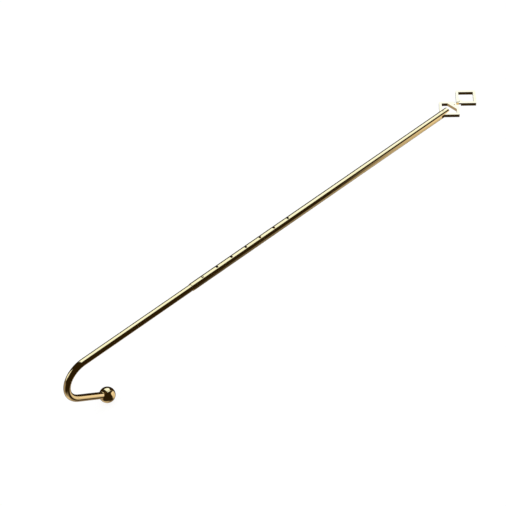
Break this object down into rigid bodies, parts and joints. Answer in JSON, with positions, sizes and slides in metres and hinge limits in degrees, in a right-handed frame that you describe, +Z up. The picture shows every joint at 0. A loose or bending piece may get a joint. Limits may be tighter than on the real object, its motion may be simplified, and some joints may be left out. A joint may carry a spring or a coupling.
{
  "type": "telescoping hook rod",
  "caption": "Telescoping hanging rod in polished gold tube, with a ball-ended J hook, a snap button locking in a row of holes, and square links riveted in line at the far end.",
  "frame": {"origin": "below the middle of the whole part's box, level with the ball's underside", "axes": "+X along the rod from the hook end towards the links, +Z up from the hook to the row of holes, +Y across the rod"},
  "size_m": [0.8982, 0.047, 0.1222],
  "materials": {
    "polished_gold": "mirror-polished gold colour",
    "spring_steel": "plain bright steel, out of sight inside the tube"
  },
  "bodies": {
    "outer": {"outer_tube": "polished_gold", "end_plug": "polished_gold", "clevis_rivet": "polished_gold"},
    "hook": {"hook_tube": "polished_gold", "end_ball": "polished_gold", "ball_stud": "spring_steel", "button_spring": "spring_steel"},
    "button": {"snap_button": "polished_gold"},
    "lower_link": {"lower_link": "polished_gold", "link_rivet": "polished_gold"},
    "upper_link": {"upper_link": "polished_gold"}
  },
  "joints": [
    {"name": "tube_slide", "type": "slide", "parent": "outer", "child": "hook", "axis": [1, 0, 0], "range_m": [0, 0.18]},
    {"name": "button_press", "type": "slide", "parent": "hook", "child": "button", "axis": [0, 0, -1], "range_m": [0, 0.0022], "stiffness_N_per_m": 1500, "springref_m": -0.002, "deforming": ["button_spring"]},
    {"name": "lower_link_pivot", "type": "hinge", "parent": "outer", "child": "lower_link", "pos_m": [0.36783, 0, 0.11458], "axis": [0, 0, 1], "range_deg": [-50, 50]},
    {"name": "upper_link_pivot", "type": "hinge", "parent": "lower_link", "child": "upper_link", "pos_m": [0.40473, 0, 0.11458], "axis": [0, 0, 1], "range_deg": [-42, 42]}
  ]
}
